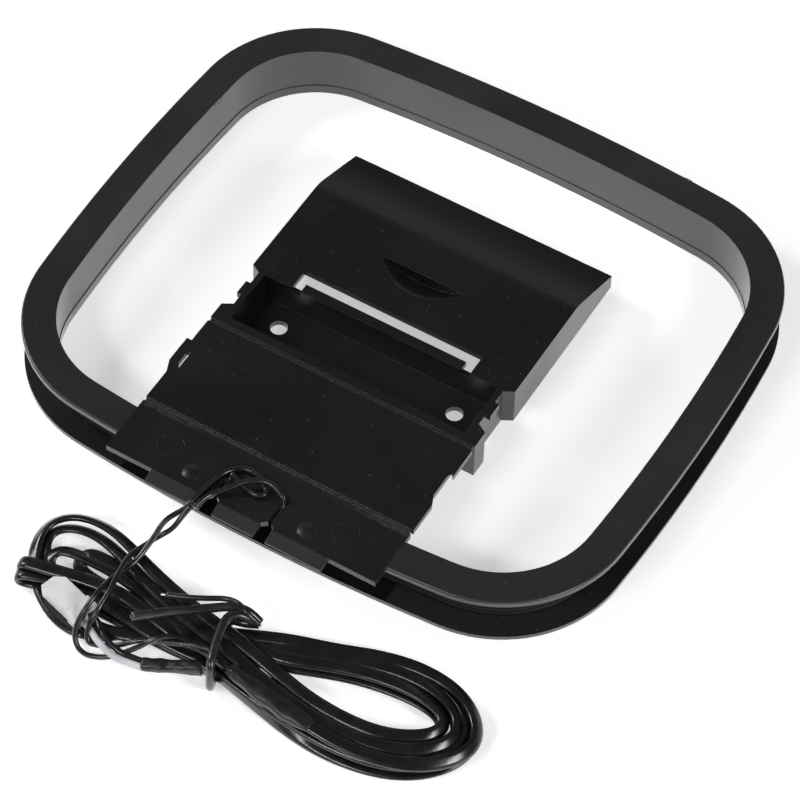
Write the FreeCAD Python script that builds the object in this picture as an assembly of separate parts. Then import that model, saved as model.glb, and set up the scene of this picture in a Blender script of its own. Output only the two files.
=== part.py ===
# AM loop antenna: a wound bobbin with a fold-out stand inside it and a bundled flat lead.
# Millimetres, +Z up. The loop lies flat on its bottom flange, +Y runs from the tab plate to
# the far side of the loop, and X runs along the two fold lines.
import FreeCAD, Part
import math
import os

os.makedirs("parts", exist_ok=True)
V = FreeCAD.Vector

# ---- driving dimensions: loop frame ----
loop_half_x = 61.0            # half width over the bowed sides
loop_half_y = 52.9            # half depth over the bowed ends
corner_radius = 24.8
corner_centre_x = 35.2
corner_centre_y = 26.5
loop_height = 11.6
flange_width = 6.3            # from the outer edge to the loop's inner face
flange_thickness = 1.25
wall_thickness = 1.3
edge_round = 0.45
inner_step_height = 2.0       # the mould line round the loop's inner face
inner_step_depth = 0.12

# ---- winding ----
wire_diameter = 1.0
turns = 8
turn_pitch = 1.08

# ---- stand: fold lines, plates and the slot that the tab plugs into ----
plate = 1.25
stand_half_width = 27.35
hinge_a_y = -43.3
hinge_b_y = -22.4
hinge_half_gap = 0.45
web_thickness = 0.3
web_top_gap = 0.05
tab_edge_y = -55.5
lip_length = 2.4
lip_tip_drop = 0.75
tongue_half_width = 4.2
lip_inner_x = 6.7
lip_outer_x = 17.9
slit_inner_x = 5.2
slit_outer_x = 5.9
slit_end_y = -49.5
slit_flare_y = -54.4
wire_hole_radius = 0.62
bump_x = 11.7
bump_y = -52.5
bump_radius = 1.6
bump_height = 0.4

base_bottom = 3.0
base_front_y = -21.95
channel_front_y = -20.3
channel_back_y = -8.7
channel_floor = 5.1
channel_floor_thickness = 1.2
channel_half_width = 24.25
waist_half_width = 25.45
shell_wall = 1.1
foot_bend_y = 14.9
foot_bend_radius = 9.0
foot_end_y = 28.0
foot_end_height = 6.3
slot_half_width = 18.55
slot_front_y = -6.7
slot_back_y = -4.2
slot_leg_width = 1.85
screw_hole_radius = 1.6
screw_hole_x = 18.4
screw_hole_y = -13.4
scoop_half_width = 8.6
scoop_front_y = 1.3
scoop_back_y = 6.25
scoop_depth = 2.6
cut_past = 40.0               # how far a cutting tool reaches past the stand's sides

# ---- lead: pair, hank, sleeves and plug ----
pair_diameter = 2.0
cable_width = 2.6
cable_thickness = 1.3
hank_height = 4.6
hank_edge_round = 1.0
hank_lift = 1.75              # the hank's underside over the twist tie
tie_diameter = 1.6
plug_length = 9.4
plug_width = 4.2
plug_height = 3.4
plug_lift = 1.5
plug_angle = -16.0            # degrees from +X
plug_centre = V(-18.2, -81.4, plug_lift + plug_height / 2)
plug_wire_diameter = 1.2
contact_pitch = 2.0
sleeve_wall = 0.4

top = loop_height
lip_tip_y = tab_edge_y - lip_length
centre_shift = -(lip_tip_y + loop_half_y) / 2   # puts the middle of the object's depth at y = 0
made = {}


def box(x0, y0, z0, x1, y1, z1):
    low = V(min(x0, x1), min(y0, y1), min(z0, z1))
    return Part.makeBox(abs(x1 - x0), abs(y1 - y0), abs(z1 - z0), low)


def prism_z(points, z0, z1):
    wire = Part.makePolygon([V(x, y, z0) for x, y in points + points[:1]])
    return Part.Face(wire).extrude(V(0, 0, z1 - z0))


def prism_x(points, x0, x1):
    wire = Part.makePolygon([V(x0, y, z) for y, z in points + points[:1]])
    return Part.Face(wire).extrude(V(x1 - x0, 0, 0))


def cylinder_z(x, y, z0, z1, radius):
    return Part.makeCylinder(radius, z1 - z0, V(x, y, z0))


def mirrored(shape):
    return shape.mirror(V(0, 0, 0), V(1, 0, 0))


def arc_about(centre, radius, start_deg, end_deg, z):
    def at(angle):
        a = math.radians(angle)
        return V(centre[0] + radius * math.cos(a), centre[1] + radius * math.sin(a), z)
    return Part.Arc(at(start_deg), at((start_deg + end_deg) / 2), at(end_deg)).toShape()


def loop_wire(inset, z):
    """The loop's outline moved inwards by inset: four bowed sides and four round corners."""
    half_x = loop_half_x
    half_y = loop_half_y
    cx = corner_centre_x
    cy = corner_centre_y
    r = corner_radius
    end_radius = (cx ** 2 + (half_y - cy) ** 2 - r ** 2) / (2 * (half_y - cy - r))
    side_radius = (cy ** 2 + (half_x - cx) ** 2 - r ** 2) / (2 * (half_x - cx - r))
    end_lean = math.degrees(math.atan2(cx, cy - half_y + end_radius))
    side_lean = math.degrees(math.atan2(cy, cx - half_x + side_radius))
    edges = []
    for quarter, (sx, sy) in enumerate([(1, 1), (-1, 1), (-1, -1), (1, -1)]):
        side_angle = side_lean
        end_angle = 90 - end_lean
        if quarter % 2:
            start, finish = end_angle, side_angle
        else:
            start, finish = side_angle, end_angle

        def turned(angle, sx=sx, sy=sy):
            a = math.radians(angle)
            return math.degrees(math.atan2(sy * math.sin(a), sx * math.cos(a))) % 360
        a0 = turned(start)
        a1 = turned(finish)
        if a1 < a0:
            a1 += 360
        edges.append(arc_about((sx * cx, sy * cy), r - inset, a0, a1, z))
        if quarter == 0:
            edges.append(arc_about((0, half_y - end_radius), end_radius - inset,
                                   90 - end_lean, 90 + end_lean, z))
        elif quarter == 1:
            edges.append(arc_about((side_radius - half_x, 0), side_radius - inset,
                                   180 - side_lean, 180 + side_lean, z))
        elif quarter == 2:
            edges.append(arc_about((0, end_radius - half_y), end_radius - inset,
                                   270 - end_lean, 270 + end_lean, z))
        else:
            edges.append(arc_about((half_x - side_radius, 0), side_radius - inset,
                                   -side_lean, side_lean, z))
    return Part.Wire(Part.__sortEdges__(edges))


def loop_slab(inset, z0, z1):
    return Part.Face(loop_wire(inset, z0)).extrude(V(0, 0, z1 - z0))


def round_edges_at(shape, radius, wanted):
    edges = [e for e in shape.Edges if wanted(e)]
    return shape.makeFillet(radius, edges)


def tube(points, diameter, name, closed=False):
    """A round tube of straight runs joined by tangent arcs."""
    corners = [V(*p) for p in points]
    count = len(corners)
    indices = range(count) if closed else range(1, count - 1)
    bends = []
    for i in indices:
        before = corners[(i - 1) % count]
        corner = corners[i]
        after = corners[(i + 1) % count]
        back = (before - corner)
        ahead = (after - corner)
        reach = 0.45 * min(back.Length, ahead.Length)
        back.normalize()
        ahead.normalize()
        half_turn = (math.pi - back.getAngle(ahead)) / 2
        radius = reach / math.tan(half_turn)
        middle = (back + ahead)
        middle.normalize()
        deep = radius / math.cos(half_turn) - radius
        bends.append((corner + back * reach, corner + middle * deep, corner + ahead * reach, radius))
    edges = []
    at = bends[-1][2] if closed else corners[0]
    for start, middle, end, radius in bends:
        edges.append(Part.LineSegment(at, start).toShape())
        edges.append(Part.Arc(start, middle, end).toShape())
        at = end
    if not closed:
        edges.append(Part.LineSegment(at, corners[-1]).toShape())
    path = Part.Wire(edges)
    first = edges[0]
    begin = first.valueAt(first.FirstParameter)
    heading = first.tangentAt(first.FirstParameter)
    ring = Part.Wire(Part.makeCircle(diameter / 2, begin, heading))
    solid = path.makePipeShell([ring], True, True)
    expected = math.pi * diameter ** 2 / 4 * path.Length
    tightest = min(b[3] for b in bends)
    print(f"{name}: length {path.Length:.1f}, tightest radius {tightest:.2f} "
          f"({tightest / diameter:.1f} d), volume {solid.Volume / expected:.3f} of expected")
    return solid


def oval_bar(start, end, width, height):
    """A straight bar of stadium section, lying with its width level."""
    start = V(*start)
    end = V(*end)
    along = end - start
    length = along.Length
    r = height / 2
    flat = width / 2 - r
    top_line = Part.LineSegment(V(0, -flat, r), V(0, flat, r)).toShape()
    right = Part.Arc(V(0, flat, r), V(0, flat + r, 0), V(0, flat, -r)).toShape()
    bottom_line = Part.LineSegment(V(0, flat, -r), V(0, -flat, -r)).toShape()
    left = Part.Arc(V(0, -flat, -r), V(0, -flat - r, 0), V(0, -flat, r)).toShape()
    bar = Part.Face(Part.Wire([top_line, right, bottom_line, left])).extrude(V(length, 0, 0))
    heading = math.degrees(math.atan2(along.y, along.x))
    rise = math.degrees(math.asin(along.z / length))
    bar.rotate(V(0, 0, 0), V(0, 1, 0), -rise)
    bar.rotate(V(0, 0, 0), V(0, 0, 1), heading)
    bar.translate(start)
    return bar


def add(name, shape):
    made[name] = shape


# ---- loop frame: U-section bobbin, tab plate, lips and snap tongue ----
bobbin = loop_slab(0, 0, top)
bobbin = round_edges_at(bobbin, edge_round, lambda e: e.BoundBox.ZLength < 0.01)
inner_face = flange_width - inner_step_depth
bobbin = bobbin.cut(loop_slab(flange_width, -1, top + 1))
bobbin = bobbin.cut(loop_slab(inner_face, inner_step_height, top - flange_thickness))
groove_ring = loop_slab(-2, flange_thickness, top - flange_thickness)
groove_ring = groove_ring.cut(loop_slab(flange_width - wall_thickness, 0, top))
bobbin = bobbin.cut(groove_ring)

tab = box(-stand_half_width, tab_edge_y, top - plate,
          stand_half_width, hinge_a_y - hinge_half_gap, top)
lip_profile = [(tab_edge_y + 0.3, top), (tab_edge_y, top), (lip_tip_y, top - lip_tip_drop),
               (lip_tip_y, top - plate), (tab_edge_y + 0.3, top - plate)]
frame = bobbin.fuse(tab)
for x0, x1 in [(-lip_outer_x, -lip_inner_x), (-tongue_half_width, tongue_half_width),
               (lip_inner_x, lip_outer_x)]:
    frame = frame.fuse(prism_x(lip_profile, x0, x1))
slit_outline = [(slit_inner_x, slit_end_y), (slit_inner_x, slit_flare_y),
                (tongue_half_width, tab_edge_y + 0.3), (tongue_half_width, lip_tip_y - 1),
                (lip_inner_x, lip_tip_y - 1), (lip_inner_x, tab_edge_y + 0.3),
                (slit_outer_x, slit_flare_y), (slit_outer_x, slit_end_y)]
slit = prism_z(slit_outline, top - plate - 0.01, top + 1)
wire_hole_x = (slit_inner_x + slit_outer_x) / 2
slit = slit.fuse(cylinder_z(wire_hole_x, slit_end_y, top - plate - 0.01, top + 1, wire_hole_radius))
frame = frame.cut(slit).cut(mirrored(slit))
bump_sphere_radius = (bump_radius ** 2 + bump_height ** 2) / (2 * bump_height)
bump = Part.makeSphere(bump_sphere_radius, V(bump_x, bump_y, top + bump_height - bump_sphere_radius))
bump = bump.common(box(bump_x - 3, bump_y - 3, top - 0.3, bump_x + 3, bump_y + 3, top + 3))
frame = frame.fuse(bump).fuse(mirrored(bump)).removeSplitter()
add("loop_frame", frame)

# ---- winding: turns side by side against the bobbin's wall ----
winding_inset = flange_width - wall_thickness - wire_diameter / 2 - 0.05
first_turn_z = top / 2 - (turns - 1) * turn_pitch / 2
rings = []
for turn in range(turns):
    path = loop_wire(winding_inset, first_turn_z + turn * turn_pitch)
    begin = path.Edges[0].valueAt(path.Edges[0].FirstParameter)
    heading = path.Edges[0].tangentAt(path.Edges[0].FirstParameter)
    section = Part.Wire(Part.makeCircle(wire_diameter / 2, begin, heading))
    rings.append(path.makePipeShell([section], True, True))
add("loop_winding", Part.makeCompound(rings))

# ---- brace panel: clip on its left edge, notch in its right edge ----
brace = box(-stand_half_width, hinge_a_y + hinge_half_gap, top - plate,
            stand_half_width, hinge_b_y - hinge_half_gap, top)
clip_outer_x = -28.35
clip_slit_x0 = -26.6
clip_slit_x1 = -25.95
clip = prism_z([(clip_outer_x, -28.2), (clip_outer_x, -33.9), (-stand_half_width, -36.4),
                (-26.0, -36.4), (-26.0, -28.2)], top - plate, top)
brace = brace.fuse(clip)
clip_slit = prism_z([(clip_slit_x0, -30.6), (clip_slit_x1, -30.6), (clip_slit_x1, -34.6),
                     (clip_slit_x0, -33.5)], top - 3, top + 1)
notch_depth_x = 26.5
notch = prism_z([(stand_half_width + 1, -29.5), (stand_half_width, -29.5), (notch_depth_x, -28.5),
                 (notch_depth_x, -34.6), (stand_half_width, -36.6),
                 (stand_half_width + 1, -36.6)], top - 3, top + 1)
brace = brace.cut(clip_slit).cut(notch).removeSplitter()
add("brace_panel", brace)

# ---- hinge webs: thin strips that bend at the two fold lines ----
for name, y in [("front_hinge_web", hinge_a_y), ("rear_hinge_web", hinge_b_y)]:
    add(name, box(-stand_half_width + 0.3, y - hinge_half_gap, top - web_top_gap - web_thickness,
                  stand_half_width - 0.3, y + hinge_half_gap, top - web_top_gap))

# ---- stand base: channel with screw holes, and the hollow foot ----
half_plan = [(stand_half_width, base_front_y), (stand_half_width, -18.4), (waist_half_width, -17.3),
             (waist_half_width, -8.9), (stand_half_width, -7.8), (stand_half_width, foot_end_y)]
plan = half_plan + [(-x, y) for x, y in reversed(half_plan)]
base = prism_z(plan, base_bottom, top)
slope_drop = (top - foot_end_height) / (foot_end_y - foot_bend_y)
half_bend = math.atan(slope_drop) / 2
bend_reach = foot_bend_radius * math.tan(half_bend)
bend_dip = foot_bend_radius / math.cos(half_bend) - foot_bend_radius
bend_start = V(-cut_past, foot_bend_y - bend_reach, top)
bend_middle = V(-cut_past, foot_bend_y - bend_dip * math.sin(half_bend),
                top - bend_dip * math.cos(half_bend))
bend_finish = V(-cut_past, foot_bend_y + bend_reach * math.cos(2 * half_bend),
                top - bend_reach * math.sin(2 * half_bend))
past_end = [bend_finish, V(-cut_past, foot_end_y, foot_end_height),
            V(-cut_past, foot_end_y + 1, foot_end_height), V(-cut_past, foot_end_y + 1, top + 1),
            V(-cut_past, bend_start.y, top + 1), bend_start]
slope_edges = [Part.Arc(bend_start, bend_middle, bend_finish).toShape()]
slope_edges += [Part.makeLine(a, b) for a, b in zip(past_end, past_end[1:])]
slope_cut = Part.Face(Part.Wire(slope_edges)).extrude(V(2 * cut_past, 0, 0))
base = base.cut(slope_cut)
hollow_back_y = foot_end_y - shell_wall
hollow_back_z = top - shell_wall - slope_drop * (hollow_back_y - foot_bend_y)
hollow = prism_x([(channel_back_y + shell_wall, base_bottom - 1),
                  (channel_back_y + shell_wall, top - shell_wall),
                  (foot_bend_y - 0.3, top - shell_wall), (hollow_back_y, hollow_back_z),
                  (hollow_back_y, base_bottom - 1)],
                 -stand_half_width + shell_wall, stand_half_width - shell_wall)
neck_side = prism_z([(waist_half_width - shell_wall, channel_back_y), (cut_past, channel_back_y),
                     (cut_past, -6.9), (stand_half_width - shell_wall, -6.9)], base_bottom - 2, top + 2)
hollow = hollow.cut(neck_side).cut(mirrored(neck_side))


def scoop(grow):
    """The finger scoop: a round trough that climbs towards the hinges from an upright wall."""
    half = scoop_half_width + grow
    back_y = scoop_back_y + grow
    deepest = V(0, back_y, top - scoop_depth - grow)
    over_top = top + 0.3
    rim = [V(half, back_y, top), V(half, back_y, over_top), V(-half, back_y, over_top),
           V(-half, back_y, top)]
    edges = [Part.Arc(rim[3], deepest, rim[0]).toShape()]
    edges += [Part.makeLine(a, b) for a, b in zip(rim, rim[1:])]
    climb = V(0, scoop_front_y - scoop_back_y, scoop_depth)
    run_out = 1.5                 # carries the trough out through the top face
    return Part.Face(Part.Wire(edges)).extrude(climb * run_out)


base = base.cut(hollow)
scoop_shell = scoop(shell_wall).common(box(-cut_past, slot_back_y, base_bottom,
                                           cut_past, foot_bend_y, top))
base = base.fuse(scoop_shell).cut(scoop(0))
channel = box(-channel_half_width, channel_front_y, channel_floor,
              channel_half_width, channel_back_y, top + 1)
under_channel = box(-channel_half_width, channel_front_y - 0.2, base_bottom - 1,
                    channel_half_width, channel_back_y, channel_floor - channel_floor_thickness)
base = base.cut(channel).cut(under_channel)
slot_tool = box(-slot_half_width, slot_front_y, top - 2, slot_half_width, slot_back_y, top + 1)
leg = box(slot_half_width - slot_leg_width, channel_back_y - 0.1, top - shell_wall,
          slot_half_width, slot_back_y, top + 1)
base = base.cut(slot_tool).cut(leg).cut(mirrored(leg))
for side in (-1, 1):
    base = base.cut(cylinder_z(side * screw_hole_x, screw_hole_y, 0, top, screw_hole_radius))
nib = box(waist_half_width - 0.3, -14.8, top - plate, waist_half_width + 0.9, -11.7, top)
base = base.fuse(nib).fuse(mirrored(nib)).removeSplitter()
add("stand_base", base)

# ---- wire ends: out through the slit ends, over the tab plate, over the left lip ----
on_tab = top + wire_diameter / 2 + 0.05
over = on_tab + 1.1
wire_end_y = lip_tip_y - 0.7
left_route = [(-wire_hole_x, slit_end_y, top - 2.6), (-wire_hole_x, slit_end_y, top + 0.8),
              (-4.2, -50.1, top + 0.8), (-2.0, -50.6, on_tab), (0.5, -51.3, on_tab),
              (2.2, -50.2, on_tab),
              (1.1, -48.5, on_tab), (-1.2, -47.3, on_tab), (-4.0, -47.2, on_tab),
              (-6.1, -49.0, on_tab), (-7.2, -51.8, on_tab), (-7.7, -54.8, on_tab),
              (-8.3, wire_end_y, top + 0.2)]
right_route = [(wire_hole_x, slit_end_y, top - 2.6), (wire_hole_x, slit_end_y, top + 0.9),
               (4.4, -49.0, top + 1.2), (2.2, -48.3, over), (0.0, -48.7, over), (-2.0, -50.2, over),
               (-3.4, -52.2, over - 0.2), (-5.2, -54.0, on_tab + 0.1), (-6.6, -55.8, on_tab),
               (-7.2, wire_end_y, top + 0.2)]
add("wire_end_left", tube(left_route, wire_diameter, "wire_end_left"))
add("wire_end_right", tube(right_route, wire_diameter, "wire_end_right"))

# ---- twisted pair: down over the hank, round the plug's cable end, back to its sleeve ----
pair_route = [(-7.75, wire_end_y, top + 0.2), (-9.2, -61.6, 10.4), (-11.0, -65.2, 7.8),
              (-12.3, -69.6, 6.6), (-12.6, -74.4, 7.2), (-12.2, -79.2, 7.9), (-12.2, -83.6, 6.8),
              (-12.9, -86.6, 3.4), (-11.4, -88.0, 1.25), (-8.8, -86.6, 1.15), (-6.2, -85.2, 2.0),
              (-3.2, -83.4, 4.2), (0.4, -80.9, 5.85), (4.8, -79.2, 5.75), (9.6, -78.9, 5.75),
              (14.4, -80.2, 5.75)]
add("lead_pair", tube(pair_route, pair_diameter, "lead_pair"))

# ---- heat-shrink sleeve between the pair and the flat cable, with its soldered joints ----
lead_sleeve_start = (14.4, -80.2, 5.75)
lead_sleeve_end = (29.4, -82.2, 5.75)
sleeve_outer = (3.3, 2.2)
sleeve_inner = (sleeve_outer[0] - 2 * sleeve_wall, sleeve_outer[1] - 2 * sleeve_wall)


def splice(prefix, start, end, outer, joint_diameter):
    """A hollow sleeve with two soldered joints side by side inside it."""
    inner = (outer[0] - 2 * sleeve_wall, outer[1] - 2 * sleeve_wall)
    skin = oval_bar(start, end, outer[0], outer[1]).cut(oval_bar(start, end, inner[0], inner[1]))
    add(prefix + "_sleeve", skin)
    heading = V(*end) - V(*start)
    heading.normalize()
    across = V(-heading.y, heading.x, 0)
    across.normalize()
    gap = joint_diameter / 2 + 0.03
    for label, side in [("first", 1), ("second", -1)]:
        offset = across * (gap * side)
        a = V(*start) + heading * 0.05 + offset
        length = (V(*end) - V(*start)).Length - 0.1
        add(f"{prefix}_joint_{label}", Part.makeCylinder(joint_diameter / 2, length, a, heading))


splice("lead_splice", lead_sleeve_start, lead_sleeve_end, sleeve_outer, 1.0)

# ---- hank of flat cable: one solid of its outer shape ----
hank_outline = [(12.4, -69.9), (18.5, -67.2), (24.0, -65.5), (28.6, -64.4), (32.5, -62.4), (37.2, -60.9),
                (42.0, -60.2), (46.5, -60.5), (50.8, -61.9), (54.2, -64.6), (56.3, -68.2),
                (56.6, -71.2), (55.4, -74.6), (52.5, -78.0), (48.0, -80.9), (42.0, -82.8),
                (35.5, -83.6), (29.4, -83.5), (23.3, -83.0), (16.3, -81.8), (12.6, -80.0),
                (6.0, -79.9), (0.0, -80.2), (-6.0, -80.4), (-11.0, -80.3), (-13.5, -78.2),
                (-20.0, -78.4), (-24.0, -81.0), (-27.0, -81.3), (-29.6, -79.8), (-29.8, -77.2),
                (-31.0, -72.0), (-30.4, -68.6), (-28.0, -65.9), (-24.2, -64.9), (-19.8, -65.3),
                (-12.9, -67.2), (-4.2, -70.2), (2.0, -72.0), (7.6, -72.5)]
right_eye = [(19.5, -73.6), (25.0, -71.2), (31.1, -69.1), (37.2, -67.9), (42.4, -67.4),
             (46.6, -67.8), (48.4, -69.4), (47.8, -71.6), (44.8, -73.8), (40.5, -75.5),
             (35.0, -76.1), (28.0, -75.8), (23.0, -75.0)]
left_eye = [(-28.6, -72.8), (-27.6, -70.4), (-25.0, -68.6), (-20.5, -68.0), (-15.6, -68.7),
            (-15.4, -69.7), (-19.5, -70.2), (-23.6, -71.6), (-25.6, -73.4), (-26.4, -75.2)]


def drawn_in(points, amount):
    """A closed outline's points, each moved inwards along its own normal."""
    moved = []
    count = len(points)
    area = sum(points[i - 1][0] * points[i][1] - points[i][0] * points[i - 1][1] for i in range(count))
    sign = 1 if area > 0 else -1
    for i, (x, y) in enumerate(points):
        dx = points[(i + 1) % count][0] - points[i - 1][0]
        dy = points[(i + 1) % count][1] - points[i - 1][1]
        length = math.hypot(dx, dy)
        moved.append((x - sign * amount * dy / length, y + sign * amount * dx / length))
    return moved


def spline_wire(points, z):
    curve = Part.BSplineCurve()
    curve.interpolate([V(x, y, z) for x, y in points], PeriodicFlag=True)
    return Part.Wire(curve.toShape())


crown = drawn_in(hank_outline, hank_edge_round)
hank_base_z = 0.05
hank_top_z = hank_base_z + hank_height
hank = Part.makeLoft([spline_wire(crown, hank_base_z),
                      spline_wire(hank_outline, hank_base_z + hank_edge_round),
                      spline_wire(hank_outline, hank_top_z - hank_edge_round),
                      spline_wire(crown, hank_top_z)], True, True)
for eye in (right_eye, left_eye):
    hank = hank.cut(Part.Face(spline_wire(eye, -1)).extrude(V(0, 0, 10)))
tie_gap = box(5.8, -90, -1, 13.4, -60, hank_lift)
plug_seat = box(-40, -90, plug_lift - 0.05, -12.4, -77.6, 20)
hank = hank.cut(tie_gap).cut(plug_seat)
plug_pad = box(-28.0, -79.5, hank_base_z, -16.0, -82.6, plug_lift - 0.05)
hank = hank.fuse(plug_pad).removeSplitter()
add("cable_hank", hank)

# ---- twist tie round the hank, with its two tails ----
tie_loop = [(7.8, -70.9, 4.6), (7.6, -71.1, 2.2), (8.0, -72.7, 0.86), (9.4, -77.0, 0.86),
            (11.0, -81.6, 0.86), (11.6, -82.9, 2.9), (11.5, -82.8, 5.6), (11.0, -81.2, 8.0),
            (9.5, -77.0, 8.0), (8.3, -73.0, 7.9), (8.7, -70.9, 7.1)]
tie = tube(tie_loop, tie_diameter, "twist_tie loop")
knot_route = [(7.8, -70.95, 4.3), (8.5, -70.7, 6.4), (10.9, -69.5, 6.9), (13.0, -69.6, 6.0)]
tail_route = [(9.0, -70.2, 6.9), (5.6, -72.0, 7.4), (2.2, -74.6, 7.9), (-1.6, -77.9, 8.4),
              (-5.2, -81.4, 8.6)]
short_tail_route = [(8.8, -70.4, 7.0), (6.2, -69.9, 7.3), (3.6, -70.9, 7.4), (0.4, -72.2, 7.2),
                    (-3.3, -73.7, 6.9)]
tie = tie.fuse(tube(knot_route, 1.9, "twist_tie knot"))
tie = tie.fuse(tube(tail_route, tie_diameter, "twist_tie tail"))
tie = tie.fuse(tube(short_tail_route, 1.1, "twist_tie short tail"))
add("twist_tie", tie)

# ---- last run of flat cable, on edge, from the hank to the plug's sleeve ----
plug_sleeve_start = (8.4, -81.0, 2.9)
plug_sleeve_end = (-0.9, -85.0, 2.0)
run_x0 = 8.5
run_x1 = 13.2
run_y0 = -81.3
add("cable_run", box(run_x0, run_y0, hank_lift, run_x1, run_y0 + cable_thickness,
                     hank_lift + cable_width))

# ---- heat-shrink sleeve behind the plug ----
splice("plug_splice", plug_sleeve_start, plug_sleeve_end, (2.8, 2.0), 0.95)

# ---- plug: housing, crimp contacts and its two wires ----
a = math.radians(plug_angle)
plug_along = V(math.cos(a), math.sin(a), 0)
plug_across = V(-math.sin(a), math.cos(a), 0)


def in_plug(shape):
    """Turns and moves a shape made with the plug's middle at the origin, cable end at +X."""
    shape.rotate(V(0, 0, 0), V(0, 0, 1), plug_angle)
    shape.translate(plug_centre)
    return shape


half_length = plug_length / 2
half_width = plug_width / 2
half_height = plug_height / 2
collar_length = 2.4
collar_grow = 0.25
nose_cut = 1.5
housing = prism_z([(-half_length, -half_width), (half_length, -half_width),
                   (half_length, half_width), (-half_length + nose_cut, half_width),
                   (-half_length, half_width - nose_cut)], -half_height, half_height)
housing = housing.fuse(box(half_length - collar_length, -half_width - collar_grow, -half_height,
                           half_length, half_width + collar_grow, half_height + collar_grow))
cavity_half = 0.7
contact_length = 7.0
contact_start = half_length - contact_length - 0.8
for side, label in [(1, "first"), (-1, "second")]:
    y = side * contact_pitch / 2
    housing = housing.cut(box(-half_length - 1, y - cavity_half, -cavity_half,
                              half_length + 1, y + cavity_half, cavity_half))
    contact = box(contact_start, y - cavity_half + 0.08, -cavity_half + 0.08,
                  half_length - 0.8, y + cavity_half - 0.08, cavity_half - 0.08)
    bore = box(contact_start - 1, y - 0.3, -0.3, contact_start + 2.6, y + 0.3, 0.3)
    add(f"plug_contact_{label}", in_plug(contact.cut(bore)))
add("plug_housing", in_plug(housing.removeSplitter()))


def plug_wire_route(side, bow):
    """From the housing's cable end over the pair to the sleeve's mouth."""
    out = plug_centre + plug_along * (half_length - 0.8) + plug_across * (side * contact_pitch / 2)
    away = out + plug_along * 2.4
    mouth = V(*plug_sleeve_end) + V(-0.25, 0.55, 0) * side
    return [tuple(out), tuple(away), (-9.7 + bow[0], -85.6 + bow[1], 3.35),
            (-7.4 + bow[0], -86.5 + bow[1], 3.3), (-5.0 + bow[0], -86.8 + bow[1], 3.0),
            (-2.8 + bow[0], -86.2 + bow[1], 2.5), tuple(mouth)]


add("plug_wire_white", tube(plug_wire_route(-1, (0, 0)), plug_wire_diameter, "plug_wire_white"))
add("plug_wire_black", tube(plug_wire_route(1, (0.4, 1.3)), plug_wire_diameter - 0.1,
                            "plug_wire_black"))

# ---- report and export ----
lean = math.degrees(math.acos((tab_edge_y - 0.15 - hinge_a_y) / (hinge_b_y - hinge_a_y)))
print(f"brace stop {lean:.2f} deg, base stop {270 - lean:.2f} deg, shift {centre_shift:.3f}")
for name, shape in made.items():
    shape = shape.copy()
    shape.translate(V(0, centre_shift, 0))
    bound = shape.BoundBox
    print(f"{name:28s} solids {len(shape.Solids)} valid {shape.isValid()} "
          f"x {bound.XMin:.2f}..{bound.XMax:.2f} y {bound.YMin:.2f}..{bound.YMax:.2f} "
          f"z {bound.ZMin:.2f}..{bound.ZMax:.2f}")
    shape.exportStep(f"parts/{name}.step")
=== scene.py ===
import math

import bmesh
import bpy
import numpy as np
from mathutils import Matrix, Vector


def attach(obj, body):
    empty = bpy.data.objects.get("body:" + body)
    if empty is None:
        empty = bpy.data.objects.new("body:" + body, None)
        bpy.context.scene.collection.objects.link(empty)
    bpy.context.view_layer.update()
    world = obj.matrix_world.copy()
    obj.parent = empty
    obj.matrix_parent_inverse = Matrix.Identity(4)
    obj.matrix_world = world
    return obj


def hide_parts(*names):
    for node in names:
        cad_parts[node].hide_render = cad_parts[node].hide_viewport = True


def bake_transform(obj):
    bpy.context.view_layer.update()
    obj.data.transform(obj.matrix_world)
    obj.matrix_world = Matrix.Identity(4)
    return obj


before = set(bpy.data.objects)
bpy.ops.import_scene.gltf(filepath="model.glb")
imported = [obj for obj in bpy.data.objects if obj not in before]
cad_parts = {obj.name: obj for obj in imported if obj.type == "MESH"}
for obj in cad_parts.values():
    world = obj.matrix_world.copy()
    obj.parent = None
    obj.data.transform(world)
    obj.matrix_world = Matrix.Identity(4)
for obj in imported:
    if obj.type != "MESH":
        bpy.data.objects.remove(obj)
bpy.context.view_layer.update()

# Sizes in millimetres are measured from the middle of the loop, as in the part's source.
mm = 0.001
centre_shift = 2.5
loop_top = 11.6
cable_width = 2.6
cable_thickness = 1.3
wire_thickness = 1.0


def place(x, y, z):
    """A spot in metres, from the part's own millimetres."""
    return Vector((x * mm, (y + centre_shift) * mm, z * mm))


def placed(route):
    return [place(*spot) for spot in route]


def add_object(name, data):
    made = bpy.data.objects.new(name, data)
    bpy.context.scene.collection.objects.link(made)
    return made


# ---------------------------------------------------------------- camera
camera_azimuth = math.radians(29.54)
camera_elevation = math.radians(53.07)
camera_roll = math.radians(1.808)
camera_distance = 0.6633
camera_lens = 166.0
camera_target = Vector((0.006711, -0.010032, 0.0))


def add_camera():
    back = Vector((math.sin(camera_azimuth) * math.cos(camera_elevation),
                   -math.cos(camera_azimuth) * math.cos(camera_elevation),
                   math.sin(camera_elevation)))
    right = Vector((math.cos(camera_azimuth), math.sin(camera_azimuth), 0))
    up = back.cross(right)
    rolled_right = right * math.cos(camera_roll) + up * math.sin(camera_roll)
    rolled_up = up * math.cos(camera_roll) - right * math.sin(camera_roll)
    data = bpy.data.cameras.new("studio_camera")
    data.sensor_width = 36
    data.lens = camera_lens
    data.clip_start, data.clip_end = 0.05, 20
    camera = add_object("studio_camera", data)
    turn = Matrix((rolled_right, rolled_up, back)).transposed()
    stand_off = Matrix.Translation(camera_target + back * camera_distance)
    camera.matrix_world = stand_off @ turn.to_4x4()
    bpy.context.scene.camera = camera


add_camera()


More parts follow.
